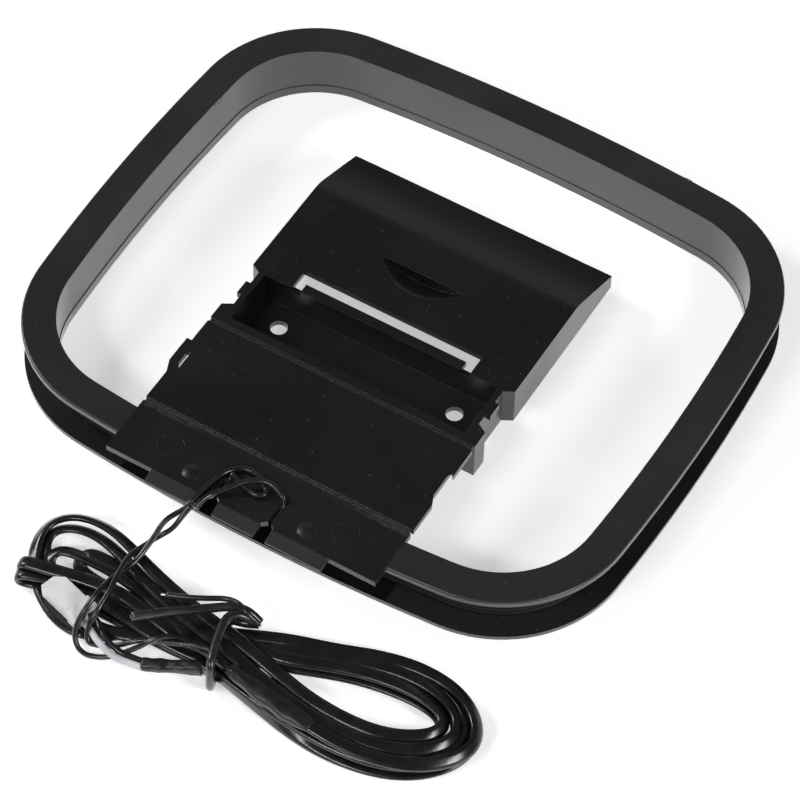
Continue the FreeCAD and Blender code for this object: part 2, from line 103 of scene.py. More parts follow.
# ---------------------------------------------------------------- lines, tubes and ribbons
def add_mesh(name, points, faces, material, body="loop", smooth=True, slot=None):
    """A mesh piece that rides on a body, with its finish; its slot is not used."""
    mesh = bpy.data.meshes.new(name)
    mesh.from_pydata([tuple(p) for p in points], [], faces)
    mesh.update()
    if smooth:
        mesh.shade_smooth()
    else:
        mesh.shade_flat()
    mesh.materials.append(material)
    piece = add_object(name, mesh)
    if body:
        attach(piece, body)
    return piece


def spline_curve(name, points, resolution=10):
    """A smooth open curve with the given points, in metres, as its control points."""
    data = bpy.data.curves.new(name, "CURVE")
    data.dimensions = "3D"
    data.resolution_u = resolution
    spline = data.splines.new("NURBS")
    spline.points.add(len(points) - 1)
    for handle, point in zip(spline.points, points):
        handle.co = (*point, 1)
    spline.order_u = 3
    spline.use_endpoint_u = True
    return data


def line_through(points, resolution=10):
    """Points along the smooth curve, read from the curve itself."""
    data = spline_curve("line", points, resolution)
    holder = bpy.data.objects.new("line", data)
    mesh = bpy.data.meshes.new_from_object(holder)
    line = [v.co.copy() for v in mesh.vertices]
    bpy.data.objects.remove(holder)
    bpy.data.curves.remove(data)
    bpy.data.meshes.remove(mesh)
    return line


def headings(line):
    """The direction of travel at each point."""
    ahead = np.gradient(np.array(line), axis=0)
    return ahead / np.maximum(np.linalg.norm(ahead, axis=1), 1e-12)[:, None]


def distances(line):
    """How far along the line each point is."""
    steps = np.linalg.norm(np.diff(np.array(line), axis=0), axis=1)
    return np.concatenate([[0], np.cumsum(steps)])


def smoothed(values, reach):
    """A running mean over reach neighbours each side, with the ends kept in place."""
    padded = np.concatenate([np.repeat(values[:1], reach, 0), values,
                             np.repeat(values[-1:], reach, 0)])
    total = sum(padded[i:i + len(values)] for i in range(2 * reach + 1))
    return total / (2 * reach + 1)


def carried_sides(line, first=None):
    """A side direction at each point that turns no more than the line does."""
    ahead = headings(line)
    side = np.array(first if first is not None else np.cross(ahead[0], (0.0, 0.0, 1.0)))
    sides = []
    for direction in ahead:
        side = side - direction * side.dot(direction)
        side = side / max(np.linalg.norm(side), 1e-9)
        sides.append(side.copy())
    return np.array(sides)


def skin_faces(rings, count):
    """The faces of a closed tube made of rings of count points: its side, then its two ends."""
    faces = []
    for i in range(rings - 1):
        for j in range(count):
            k = (j + 1) % count
            faces.append((i * count + j, (i + 1) * count + j, (i + 1) * count + k, i * count + k))
    last = (rings - 1) * count
    faces.append(tuple(range(count)))
    faces.append(tuple(last + j for j in reversed(range(count))))
    return faces


def sweep(name, line, sides, section, material, **more):
    """A closed tube whose section, in metres across and up, follows the line. Its UV map, Along,
    holds the distance from the start and the share of the way round."""
    line = np.array(line)
    ups = np.cross(sides, headings(line))
    count = len(section)
    points = [line[i] + (sides[i] * across + ups[i] * up)
              for i in range(len(line)) for across, up in section]
    piece = add_mesh(name, points, skin_faces(len(line), count), material, **more)
    lengths = distances(line)
    along = piece.data.uv_layers.new(name="Along")
    for face in piece.data.polygons:
        for corner in face.loop_indices:
            vertex = piece.data.loops[corner].vertex_index
            step, place_round = divmod(vertex, count)
            if place_round == 0 and max(piece.data.loops[c].vertex_index % count
                                        for c in face.loop_indices) > 1:
                place_round = count
            along.data[corner].uv = (lengths[step], place_round / count)
    check_outward(piece)
    return piece


def check_outward(piece):
    """Turns a closed shell's faces round where they point inwards."""
    solid = bmesh.new()
    solid.from_mesh(piece.data)
    if solid.calc_volume(signed=True) < 0:
        bmesh.ops.reverse_faces(solid, faces=solid.faces)
        solid.to_mesh(piece.data)
    solid.free()


def round_section(diameter, count=14):
    return [(diameter / 2 * math.cos(2 * math.pi * i / count),
             diameter / 2 * math.sin(2 * math.pi * i / count)) for i in range(count)]


def twin_section(width, thickness, waist=0.86, count=20):
    """Two round cores side by side, joined by a slightly thinner web."""
    section = []
    core = (width - thickness) / 2
    for i in range(count):
        angle = 2 * math.pi * i / count
        across = core * math.copysign(abs(math.cos(angle)) ** 0.8, math.cos(angle)) + \
            thickness / 2 * math.cos(angle)
        dip = waist + (1 - waist) * min(1, abs(across) / (core * 0.9))
        section.append((across, thickness / 2 * math.sin(angle) * dip))
    return section


def tube(name, route, thickness, material, resolution=8, count=14, **more):
    """A round closed tube along the smooth line of a route, all in millimetres."""
    line = line_through(placed(route), resolution)
    return sweep(name, line, carried_sides(line), round_section(thickness * mm, count), material,
                 **more)


def joined(pieces, name, body):
    """One piece from several closed shells with the same finish."""
    whole = bmesh.new()
    whole.loops.layers.uv.new("Along")
    for piece in pieces:
        whole.from_mesh(piece.data)
    mesh = bpy.data.meshes.new(name)
    whole.to_mesh(mesh)
    whole.free()
    material = pieces[0].data.materials[0]
    for piece in pieces:
        old = piece.data
        bpy.data.objects.remove(piece)
        bpy.data.meshes.remove(old)
    mesh.materials.append(material)
    mesh.shade_smooth()
    made = add_object(name, mesh)
    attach(made, body)
    return made


# ---------------------------------------------------------------- finishes
def start_finish(name, colour, roughness, ior=1.5, metallic=0.0):
    """A material with its constant values set: returns it, its node tree and its shader."""
    finish = bpy.data.materials.new(name)
    finish.use_nodes = True
    finish.diffuse_color = (*colour, 1)
    tree = finish.node_tree
    shader = tree.nodes["Principled BSDF"]
    shader.inputs["Base Color"].default_value = (*colour, 1)
    shader.inputs["Roughness"].default_value = roughness
    shader.inputs["IOR"].default_value = ior
    shader.inputs["Metallic"].default_value = metallic
    return finish, tree, shader


def add_node(tree, kind, **values):
    """A shader node, with values for its sockets or its settings."""
    node = tree.nodes.new("ShaderNode" + kind)
    for key, value in values.items():
        if key in node.inputs:
            node.inputs[key].default_value = value
        else:
            setattr(node, key, value)
    return node


def object_place(tree, scale=(1, 1, 1)):
    """The spot on the piece, in metres of its own axes."""
    place_node = add_node(tree, "TexCoord")
    mapping = add_node(tree, "Mapping")
    mapping.inputs["Scale"].default_value = scale
    tree.links.new(place_node.outputs["Object"], mapping.inputs["Vector"])
    return mapping.outputs["Vector"]


def noise(tree, where, scale, detail=3.0, roughness=0.55):
    node = add_node(tree, "TexNoise", Scale=scale, Detail=detail, Roughness=roughness)
    tree.links.new(where, node.inputs["Vector"])
    return node.outputs["Fac"]


def stretched(tree, value, low, high, to_low, to_high, smooth=False):
    node = add_node(tree, "MapRange", interpolation_type="SMOOTHSTEP" if smooth else "LINEAR")
    for socket, number in zip(("From Min", "From Max", "To Min", "To Max"),
                              (low, high, to_low, to_high)):
        node.inputs[socket].default_value = number
    tree.links.new(value, node.inputs["Value"])
    return node.outputs["Result"]


def combined(tree, operation, first, second):
    node = add_node(tree, "Math", operation=operation)
    for socket, value in zip(node.inputs, (first, second)):
        if isinstance(value, (int, float)):
            socket.default_value = value
        else:
            tree.links.new(value, socket)
    return node.outputs["Value"]


def mixed_colour(tree, share, first, second):
    node = add_node(tree, "Mix", data_type="RGBA")
    tree.links.new(share, node.inputs[0])
    for socket, value in ((node.inputs[6], first), (node.inputs[7], second)):
        if isinstance(value, tuple):
            socket.default_value = (*value, 1)
        else:
            tree.links.new(value, socket)
    return node.outputs[2]


def specks(tree, where, scale, size, share, flat=False):
    """Small dots, one in some of the cells of a loose net. A flat net is seen from above."""
    cells = add_node(tree, "TexVoronoi", voronoi_dimensions="2D" if flat else "3D", Scale=scale,
                     Randomness=1.0)
    tree.links.new(where, cells.inputs["Vector"])
    dot = stretched(tree, cells.outputs["Distance"], size * 0.5, size, 1.0, 0.0)
    parts = add_node(tree, "SeparateColor")
    tree.links.new(cells.outputs["Color"], parts.inputs[0])
    chosen = combined(tree, "GREATER_THAN", parts.outputs[0], 1 - share)
    return combined(tree, "MULTIPLY", dot, chosen)


def dressed(tree, shader, shade, gloss):
    """Wires a colour and a roughness to the shader."""
    tree.links.new(shade, shader.inputs["Base Color"])
    tree.links.new(gloss, shader.inputs["Roughness"])


def bumped(tree, shader, height, distance, strength=1.0, rounding=0.0):
    """Relief of the given depth in metres, over edges rounded by the given radius."""
    bump = add_node(tree, "Bump", Strength=strength, Distance=distance)
    tree.links.new(height, bump.inputs["Height"])
    if rounding:
        bevel = add_node(tree, "Bevel", samples=6, Radius=rounding)
        tree.links.new(bevel.outputs["Normal"], bump.inputs["Normal"])
    tree.links.new(bump.outputs["Normal"], shader.inputs["Normal"])


def between(tree, value, low, high, soft):
    """1 where a value lies between low and high, falling to 0 over a soft margin."""
    rise = stretched(tree, value, low - soft, low + soft, 0.0, 1.0, smooth=True)
    fall = stretched(tree, value, high - soft, high + soft, 1.0, 0.0, smooth=True)
    return combined(tree, "MULTIPLY", rise, fall)


def place_parts(tree, where):
    """The x, y and z of a spot."""
    parts = add_node(tree, "SeparateXYZ")
    tree.links.new(where, parts.inputs[0])
    return parts.outputs["X"], parts.outputs["Y"], parts.outputs["Z"]


def speckled(tree, where, colour):
    """The plastic's colour with a cloudy change of shade, and lint and dust where it faces up."""
    cloud = noise(tree, where, 55.0, 4.0)
    lint = specks(tree, where, 420.0, 0.045, 0.40, flat=True)
    grains = specks(tree, where, 190.0, 0.03, 0.30, flat=True)
    dust = combined(tree, "MAXIMUM", combined(tree, "MULTIPLY", lint, 0.5), grains)
    facing = add_node(tree, "TexCoord")
    upward = place_parts(tree, facing.outputs["Normal"])[2]
    dust = combined(tree, "MULTIPLY", dust, stretched(tree, upward, 0.6, 0.85, 0.0, 0.85))
    shade = mixed_colour(tree, stretched(tree, cloud, 0.35, 0.7, 0.0, 1.0), colour,
                         tuple(c * 1.35 for c in colour))
    return mixed_colour(tree, dust, shade, (0.10, 0.094, 0.087)), cloud


def stand_finish():
    """Satin black plastic of the brace and base: fine grain, cloudy gloss, lint."""
    finish, tree, shader = start_finish("stand_plastic", stand_black, 0.34, ior=1.52)
    where = object_place(tree)
    shade, cloud = speckled(tree, where, stand_black)
    dressed(tree, shader, shade, stretched(tree, cloud, 0.3, 0.75, 0.30, 0.42))
    bumped(tree, shader, noise(tree, where, 2600.0, 2.0), 0.00002, 0.3, rounding=0.00014)
    return finish


# Where the loop's finish changes, in metres along its own axes.
tab_side = 0.0273
tab_front, tab_back = -0.0531, -0.0405
dust_front, dust_back = -0.0421, -0.0412
low_flange_top = 0.00195


def loop_finish():
    """The loop's plastic: greyer on the bobbin than on the tab plate, rubbed and dusty in a narrow
    band beside the hinge, drawn in fine lines and painted darker as shade on the three lips,
    polished on the lower flange."""
    finish, tree, shader = start_finish("loop_plastic", loop_black, 0.32, ior=1.56)
    where = object_place(tree)
    shade, cloud = speckled(tree, where, loop_black)
    x, y, z = place_parts(tree, where)
    aside = combined(tree, "ABSOLUTE", x, 0.0)
    in_width = stretched(tree, aside, tab_side - 0.0003, tab_side + 0.0003, 1.0, 0.0)
    on_tab = combined(tree, "MULTIPLY", in_width, between(tree, y, tab_front, tab_back, 0.0001))
    on_lips = combined(tree, "MULTIPLY", in_width,
                       stretched(tree, y, tab_front, tab_front + 0.0003, 1.0, 0.0))
    shade = mixed_colour(tree, on_tab, shade, mixed_colour(tree, cloud, stand_black,
                                                           tuple(c * 1.5 for c in stand_black)))
    # Painted shade: the three lips get a darker colour than the plate, standing in for the dimmer
    # reflection of their tilted faces.
    shade = mixed_colour(tree, on_lips, shade, (0.004, 0.004, 0.004))
    ends = stretched(tree, aside, 0.010, 0.0265, 0.12, 1.0)
    rub = noise(tree, object_place(tree, (0.6, 1, 1)), 1100.0, 5.0, 0.7)
    band = combined(tree, "MULTIPLY", on_tab, between(tree, y, dust_front, dust_back, 0.0004))
    wear = combined(tree, "MULTIPLY", combined(tree, "MULTIPLY", band, ends),
                    stretched(tree, rub, 0.38, 0.66, 0.1, 1.0))
    shade = mixed_colour(tree, wear, shade, (0.056, 0.050, 0.040))
    gloss = stretched(tree, cloud, 0.3, 0.75, 0.30, 0.42)
    low_flange = stretched(tree, z, low_flange_top - 0.00015, low_flange_top + 0.00015, 1.0, 0.0)
    gloss = combined(tree, "SUBTRACT", gloss, combined(tree, "MULTIPLY", low_flange, 0.12))
    gloss = combined(tree, "ADD", gloss, combined(tree, "MULTIPLY", wear, 0.2))
    gloss = combined(tree, "ADD", gloss, combined(tree, "MULTIPLY", on_lips, 0.10))
    dressed(tree, shader, shade, gloss)
    grain = noise(tree, where, 2600.0, 2.0)
    lines = add_node(tree, "TexWave", wave_type="BANDS", bands_direction="X", Scale=700.0,
                     Distortion=0.6)
    tree.links.new(where, lines.inputs["Vector"])
    grain = combined(tree, "ADD", grain, combined(tree, "MULTIPLY", wear, 1.5))
    grain = combined(tree, "ADD", grain, combined(tree, "MULTIPLY", on_lips, lines.outputs["Fac"]))
    bumped(tree, shader, grain, 0.00002, 0.35, rounding=0.00014)
    return finish


def flexed_plastic(name, rubbed, ridge_highlight_strength):
    """The thin hinge strip: plate-black, with a painted highlight along its two ridges and dust
    worked into it.
    """
    finish, tree, shader = start_finish(name, stand_black, 0.4)
    along = add_node(tree, "UVMap", uv_map="Along")
    length, across = place_parts(tree, along.outputs["UV"])[:2]
    stretch = add_node(tree, "CombineXYZ")
    tree.links.new(length, stretch.inputs[0])
    tree.links.new(combined(tree, "MULTIPLY", across, 0.004), stretch.inputs[1])
    crease = noise(tree, stretch.outputs[0], 1300.0, 5.0, 0.7)
    # Painted highlight: the strip is paler along its ridges, standing in for the light their edges
    # catch.
    ridge = add_node(tree, "Attribute", attribute_name="ridge")
    pale = combined(tree, "MULTIPLY", ridge.outputs["Fac"],
                    stretched(tree, crease, 0.3, 0.6, 0.35, 1.0))
    pale = combined(tree, "MULTIPLY", pale, ridge_highlight_strength)
    dusty = combined(tree, "MULTIPLY", stretched(tree, crease, 0.45, 0.65, 0.0, 1.0), rubbed)
    shade = mixed_colour(tree, dusty, tuple(c * 1.5 for c in stand_black), (0.07, 0.06, 0.048))
    shade = mixed_colour(tree, pale, shade, (0.075, 0.073, 0.070))
    dressed(tree, shader, shade, stretched(tree, crease, 0.3, 0.7, 0.35, 0.6))
    bumped(tree, shader, crease, 0.00003, 0.4)
    return finish


def insulation(name, colour, roughness, ripple=0.00002, coat=0.0, dust=0.5, shine=0.5):
    """Extruded insulation: faint blotches, small dents and a little dust."""
    finish, tree, shader = start_finish(name, colour, roughness)
    shader.inputs["Specular IOR Level"].default_value = shine
    shader.inputs["Coat Weight"].default_value = coat
    shader.inputs["Coat Roughness"].default_value = 0.25
    where = object_place(tree)
    spot = noise(tree, where, 260.0, 3.0)
    dents = noise(tree, where, 1200.0, 2.0)
    shade = mixed_colour(tree, stretched(tree, spot, 0.4, 0.7, 0.0, 1.0), colour,
                         tuple(min(1.0, c * 1.35 + 0.002) for c in colour))
    if dust:
        lint = specks(tree, where, 700.0, 0.07, 0.18)
        dusty = combined(tree, "MULTIPLY", lint, dust)
        shade = mixed_colour(tree, dusty, shade, (0.14, 0.13, 0.125))
    dressed(tree, shader, shade,
            stretched(tree, spot, 0.3, 0.7, roughness - 0.05, roughness + 0.08))
    bumped(tree, shader, combined(tree, "ADD", dents, spot), ripple, 0.5)
    return finish


def shrunk_sleeve(name):
    """Heat-shrunk rubber: soft sheen, long folds and fine pores."""
    finish, tree, shader = start_finish(name, (0.008, 0.008, 0.009), 0.42)
    shader.inputs["Sheen Weight"].default_value = 0.06
    shader.inputs["Sheen Roughness"].default_value = 0.4
    where = object_place(tree, (0.4, 1, 1))
    folds = noise(tree, where, 520.0, 4.0)
    pores = noise(tree, object_place(tree), 3200.0, 2.0)
    shade = mixed_colour(tree, stretched(tree, folds, 0.35, 0.7, 0.0, 1.0),
                         (0.006, 0.006, 0.007), (0.013, 0.013, 0.014))
    dressed(tree, shader, shade, stretched(tree, folds, 0.3, 0.7, 0.34, 0.5))
    bumped(tree, shader, combined(tree, "ADD", folds, combined(tree, "MULTIPLY", pores, 0.25)),
           0.00012, 0.7)
    return finish


def nylon(name):
    """Milky white nylon with a cloudy shade and a fine grain."""
    finish, tree, shader = start_finish(name, (0.84, 0.83, 0.81), 0.42)
    shader.inputs["Subsurface Weight"].default_value = 0.12
    shader.inputs["Subsurface Radius"].default_value = (0.0008, 0.0007, 0.0006)
    where = object_place(tree)
    cloud = noise(tree, where, 300.0, 3.0)
    grain = noise(tree, where, 3500.0, 2.0)
    shade = mixed_colour(tree, stretched(tree, cloud, 0.35, 0.7, 0.0, 1.0),
                         (0.86, 0.855, 0.84), (0.79, 0.78, 0.755))
    dressed(tree, shader, shade, stretched(tree, cloud, 0.3, 0.7, 0.36, 0.5))
    bumped(tree, shader, grain, 0.00002, 0.4, rounding=0.00015)
    return finish


def plated_metal(name, colour, roughness):
    """Plated or bare metal with darker stains."""
    finish, tree, shader = start_finish(name, colour, roughness, metallic=1.0)
    where = object_place(tree)
    stain = noise(tree, where, 900.0, 4.0)
    shade = mixed_colour(tree, stretched(tree, stain, 0.35, 0.7, 0.0, 1.0), colour,
                         tuple(c * 0.7 for c in colour))
    dressed(tree, shader, shade,
            stretched(tree, stain, 0.3, 0.7, roughness - 0.08, roughness + 0.12))
    bumped(tree, shader, stain, 0.00003, 0.4)
    return finish


loop_black = (0.0165, 0.0165, 0.0170)
stand_black = (0.0048, 0.0048, 0.0050)
loop_plastic = loop_finish()
stand_plastic = stand_finish()
# The last number sets the strength of the painted highlight along each hinge's ridges.
front_hinge_plastic = flexed_plastic("front_hinge_plastic", 0.7, 0.6)
rear_hinge_plastic = flexed_plastic("rear_hinge_plastic", 0.15, 0.12)
winding_enamel = insulation("winding_insulation", (0.0030, 0.0030, 0.0033), 0.55, dust=0.1,
                            shine=0.25)
lead_insulation = insulation("lead_insulation", (0.009, 0.009, 0.010), 0.25, coat=0.2)
cable_jacket = insulation("cable_jacket", (0.0065, 0.0065, 0.0072), 0.23, ripple=0.00003,
                          coat=0.15)
white_insulation = insulation("white_insulation", (0.52, 0.52, 0.55), 0.32, dust=0.0)
tie_coating = insulation("tie_coating", (0.013, 0.013, 0.015), 0.26, ripple=0.00004, coat=0.3)
sleeve_rubber = shrunk_sleeve("sleeve_rubber")
plug_nylon = nylon("plug_nylon")
tinned_brass = plated_metal("tinned_brass", (0.62, 0.59, 0.52), 0.3)
tie_steel = plated_metal("tie_steel", (0.72, 0.72, 0.72), 0.25)
solder_tin = plated_metal("solder_tin", (0.55, 0.55, 0.57), 0.35)


# ---------------------------------------------------------------- the flat cable
# Each point is x, y, z and lean: 0 lies flat, 90 stands on edge.
eye_side = [(21.5, -74.4), (28.0, -75.8), (35.0, -76.1), (40.5, -75.5), (44.8, -73.8),
            (47.8, -71.6), (48.5, -69.4), (46.6, -67.8), (42.4, -67.4), (37.2, -67.9),
            (31.1, -69.1), (25.0, -71.2), (19.5, -73.6)]
rim_side = [(20.0, -82.4), (27.5, -83.4), (35.5, -83.6), (43.5, -82.5), (50.0, -79.9),
            (54.8, -75.4), (56.7, -70.2), (54.6, -65.0), (49.2, -61.2), (42.0, -60.1),
            (34.5, -61.6), (26.5, -64.9), (19.0, -67.0)]
turned_in = [0, 0, 0, -6, -20, -38, -46, -38, -20, -6, 0, 0, 0]


def right_loop(near_lane, end_lane, far_lane, near_z, end_z, far_z, begin=0):
    """One turn round the right-hand eye. A lane is 0 beside the eye and 1 at the rim."""
    turn = []
    for i in range(begin, len(eye_side)):
        share = i / (len(eye_side) - 1) * 2
        if share < 1:
            span, lanes, heights = (0.45, 1), (near_lane, end_lane), (near_z, end_z)
        else:
            span, lanes, heights = (1, 1.55), (end_lane, far_lane), (end_z, far_z)
        lane, z = np.interp(share, span, lanes), np.interp(share, span, heights)
        spot = Vector(eye_side[i]).lerp(Vector(rim_side[i]), lane)
        turn.append((spot.x, spot.y, z, turned_in[i]))
    return turn


first_left = [(14.0, -70.6, 3.7, 0), (9.5, -72.6, 3.5, 0), (4.0, -74.8, 3.0, 0),
              (-2.0, -77.6, 2.3, 0), (-6.6, -80.8, 1.7, 0), (-10.4, -83.4, 1.1, 0),
              (-14.6, -84.7, 0.75, 0), (-19.0, -84.2, 0.75, 0), (-23.2, -82.0, 0.85, 0),
              (-26.6, -79.2, 1.2, 12), (-29.2, -76.1, 1.8, 28), (-30.5, -72.8, 2.4, 42),
              (-30.2, -69.4, 2.9, 46), (-27.9, -66.8, 3.4, 46), (-23.9, -65.6, 3.9, 44),
              (-19.2, -65.9, 4.3, 40), (-14.4, -67.4, 4.6, 32), (-8.8, -69.5, 4.8, 20),
              (-2.5, -71.4, 4.9, 8), (4.0, -72.8, 5.0, 0), (10.0, -73.7, 5.0, 0),
              (15.6, -74.7, 4.7, 0)]
second_left = [(14.0, -72.7, 3.6, 0), (9.5, -74.8, 3.5, 0), (4.0, -77.0, 2.9, 0),
               (-2.0, -79.6, 2.3, 0), (-7.4, -81.8, 1.7, 0), (-12.2, -82.3, 0.8, 0),
               (-17.4, -81.6, 0.75, 0), (-22.2, -79.7, 0.75, 0), (-26.0, -76.9, 1.0, 8),
               (-28.8, -73.8, 1.5, 22), (-29.4, -70.9, 1.9, 30), (-27.6, -68.6, 2.4, 32),
               (-23.8, -67.5, 2.9, 30), (-19.4, -67.9, 3.3, 26), (-14.9, -69.4, 3.8, 18),
               (-8.6, -71.8, 4.2, 8), (-2.0, -73.9, 4.5, 0), (4.5, -75.2, 4.7, 0),
               (10.2, -76.1, 4.8, 0), (16.0, -77.6, 4.4, 0)]
third_left = [(14.0, -74.6, 3.5, 0), (9.5, -76.6, 3.3, 0), (4.0, -77.9, 2.6, 0),
              (-3.0, -77.9, 1.6, 0), (-10.0, -77.4, 0.8, 0), (-16.6, -76.9, 0.75, 0),
              (-21.4, -76.8, 0.8, 0), (-25.2, -76.8, 0.9, 8), (-26.6, -75.6, 1.3, 20),
              (-26.6, -73.8, 1.8, 25), (-25.2, -72.5, 2.2, 22), (-21.0, -72.1, 2.5, 14),
              (-14.8, -72.2, 2.9, 10), (-9.0, -73.2, 3.3, 4), (-2.0, -75.4, 3.7, 0),
              (4.5, -77.2, 3.9, 0), (10.2, -78.2, 3.9, 0), (16.0, -80.0, 3.3, 0)]
fourth_left = [(15.0, -73.6, 2.3, 0), (10.0, -76.2, 2.3, 0), (4.5, -78.2, 3.2, 0),
               (-2.0, -77.4, 4.1, 0), (-10.4, -76.0, 4.4, 0), (-18.1, -76.9, 4.3, 0),
               (-24.0, -78.2, 4.2, 0), (-26.6, -78.8, 4.3, 0), (-28.6, -79.2, 4.25, 0),
               (-29.5, -79.4, 3.5, 0), (-29.5, -79.4, 2.4, 0), (-28.7, -79.1, 1.65, 0),
               (-26.4, -78.4, 1.65, 0), (-22.0, -76.8, 2.0, 0), (-15.0, -75.2, 2.0, 0),
               (-7.5, -75.6, 2.2, 0), (0.0, -77.2, 2.5, 0), (6.0, -79.0, 2.5, 0),
               (11.0, -80.0, 2.4, 0), (16.0, -80.4, 2.2, 0)]
fifth_left = [(15.0, -75.6, 2.3, 0), (10.0, -78.4, 2.3, 0), (4.0, -79.4, 2.7, 0),
              (-3.0, -79.6, 3.1, 0), (-10.0, -78.6, 3.1, 0), (-16.6, -77.8, 2.9, 0),
              (-21.6, -78.0, 2.8, 0), (-24.8, -79.4, 2.9, 0), (-27.0, -80.2, 3.0, 0),
              (-28.3, -80.7, 2.95, 0), (-29.1, -81.0, 2.3, 0), (-29.1, -81.0, 1.35, 0),
              (-28.3, -80.7, 0.72, 0), (-25.8, -79.9, 0.72, 0), (-21.6, -79.2, 0.75, 0),
              (-15.0, -78.9, 0.75, 0), (-8.0, -79.0, 0.9, 0), (-1.0, -79.4, 1.4, 0),
              (5.0, -79.4, 2.0, 0), (11.0, -78.4, 2.3, 0), (16.0, -78.2, 2.0, 0)]
sixth_left = [(14.0, -70.6, 2.2, 0), (9.5, -72.3, 2.3, 0), (3.0, -72.9, 3.0, 0),
              (-5.0, -72.2, 3.2, 0), (-12.0, -71.1, 2.9, 0), (-17.0, -70.9, 2.8, 0),
              (-20.4, -71.0, 2.7, 0), (-21.6, -71.9, 2.1, 0), (-21.6, -73.3, 1.35, 0),
              (-20.4, -74.2, 0.8, 0), (-14.0, -74.5, 0.75, 0), (-6.0, -74.8, 0.9, 0),
              (2.0, -74.6, 1.6, 0), (9.5, -73.8, 2.2, 0), (15.0, -72.0, 1.5, 0)]
cable_points = [(29.4, -82.2, 5.75, 0), (33.2, -82.4, 5.3, 0), (37.6, -82.2, 4.7, 0)]
cable_points += right_loop(0.84, 0.92, 0.77, 4.3, 3.6, 3.9, begin=3)
cable_points += first_left
cable_points += right_loop(0.17, 0.13, 0.17, 4.0, 3.4, 3.9)
cable_points += second_left
cable_points += right_loop(0.50, 0.47, 0.50, 4.0, 3.5, 3.9)
cable_points += third_left
cable_points += right_loop(0.82, 0.70, 0.76, 2.7, 2.6, 2.4)
cable_points += fourth_left
cable_points += right_loop(0.62, 0.44, 0.44, 2.3, 1.8, 2.4)
cable_points += fifth_left
cable_points += right_loop(0.26, 0.08, 0.08, 2.2, 1.6, 2.3)
cable_points += sixth_left
cable_points += list(reversed(right_loop(0.93, 0.84, 0.70, 0.9, 1.2, 0.75)))[:-2]
cable_points += [(27.4, -82.8, 1.2, 50), (20.8, -82.1, 2.0, 75), (14.6, -81.3, 2.9, 90),
                 (10.8, -80.7, 3.05, 90), (8.4, -81.0, 2.9, 90)]


def ribbon_sides(line, leans):
    """The width's direction at each point, from how the cable leans there."""
    ahead = headings(line)
    level = np.stack([ahead[:, 1], -ahead[:, 0], np.zeros(len(ahead))], axis=1)
    sides, before = [], None
    for flat, lean in zip(level, np.radians(leans)):
        side = flat * math.cos(lean) + np.array((0, 0, np.linalg.norm(flat))) * math.sin(lean)
        if before is not None and side.dot(before) < 0:
            side = -side
        if np.linalg.norm(side) > 0.05:
            before = side
        sides.append(side)
    sides = smoothed(np.array(sides), 7)
    sides -= ahead * (sides * ahead).sum(axis=1)[:, None]
    return sides / np.maximum(np.linalg.norm(sides, axis=1), 1e-9)[:, None]


cable_line = line_through(placed([spot[:3] for spot in cable_points]))
cable_leans = [lean.x for lean in line_through([Vector((spot[3], 0, 0)) for spot in cable_points])]
cable_section = twin_section(cable_width * mm, cable_thickness * mm)
cable = sweep("flat_cable", cable_line, ribbon_sides(cable_line, cable_leans), cable_section,
              cable_jacket, slot="cable_jacket")
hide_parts("cable_hank", "cable_run")

# ---------------------------------------------------------------- the lead pair
pair_route = [(-7.75, -58.6, 11.8), (-9.2, -61.6, 10.4), (-11.0, -65.2, 7.8), (-12.3, -69.6, 6.6),
              (-12.6, -74.4, 7.2), (-12.3, -79.0, 7.8), (-12.5, -83.0, 6.6), (-13.0, -85.8, 3.5),
              (-11.4, -87.2, 1.5), (-8.8, -86.4, 1.3), (-6.2, -85.2, 2.0), (-3.2, -83.4, 4.2),
              (0.4, -80.9, 5.85), (4.8, -79.2, 5.75), (9.6, -78.9, 5.75), (14.4, -80.2, 5.75)]
pair_line = line_through(placed(pair_route), 12)
pair_at = distances(pair_line)
pair_sides = carried_sides(pair_line, first=(-1.0, 0.3, 0.0))
# How far round the strands have turned, in degrees, and how far each is from the middle, by
# the distance along the pair.
turned_at = np.array([0, 5, 9.5, 14, 18, 23, 43, 49, 56, 64]) * mm
turned_by = np.radians([-60, 30, 120, 215, 300, 385, 400, 560, 740, 900])
apart_at = np.array([0, 2, 5, 8.5, 10.5, 14, 17, 21, 26, 31, 36, 41, 45, 60]) * mm
apart_by = np.array([0.5, 0.6, 0.95, 0.6, 0.5, 0.72, 0.5, 0.6, 0.95, 1.05, 1.0, 0.7, 0.52,
                     0.5]) * mm
pair_turn = smoothed(np.interp(pair_at, turned_at, turned_by), 4)
pair_gap = smoothed(np.interp(pair_at, apart_at, apart_by), 3)
pair_ahead = headings(pair_line)
pair_ups = np.cross(pair_sides, pair_ahead)
strands = []
for half_turn in (0, math.pi):
    round_it = pair_turn + half_turn
    aside = pair_sides * np.cos(round_it)[:, None] + pair_ups * np.sin(round_it)[:, None]
    strands.append([Vector(p) for p in np.array(pair_line) + aside * pair_gap[:, None]])
halves = [sweep(f"strand_{i}", line, carried_sides(line), round_section(wire_thickness * mm, 12),
                lead_insulation, body=None) for i, line in enumerate(strands)]
pair = joined(halves, "lead_pair_strands", "loop")
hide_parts("lead_pair")

